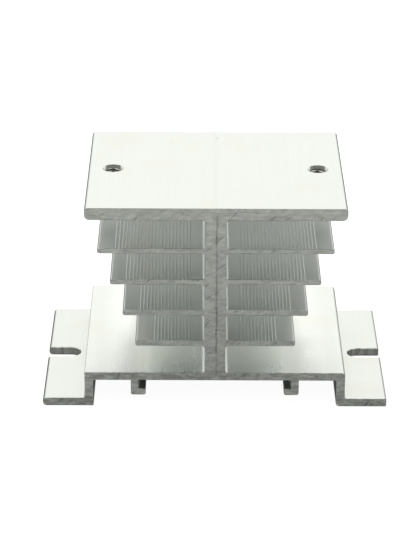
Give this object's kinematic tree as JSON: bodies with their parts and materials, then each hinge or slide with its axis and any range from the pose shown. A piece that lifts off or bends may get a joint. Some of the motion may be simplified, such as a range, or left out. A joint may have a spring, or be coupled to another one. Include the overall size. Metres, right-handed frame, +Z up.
{
  "type": "relay heat sink",
  "caption": "Extruded aluminium heat sink for a panel-mount relay: flat tapped mounting plate over a ribbed fin stack, with slotted feet and hooks for a 35 mm rail.",
  "frame": {"origin": "middle of the surface that the feet stand on, under the centre of the extrusion's length", "axes": "+X from foot to foot, +Y along the extrusion and away from the front end, +Z up, out of the relay face"},
  "size_m": [0.08, 0.05, 0.0496],
  "materials": {
    "aluminium": "mill finish, as extruded, with sawn ends"
  },
  "bodies": {
    "root": {"heat_sink": "aluminium"}
  },
  "joints": []
}
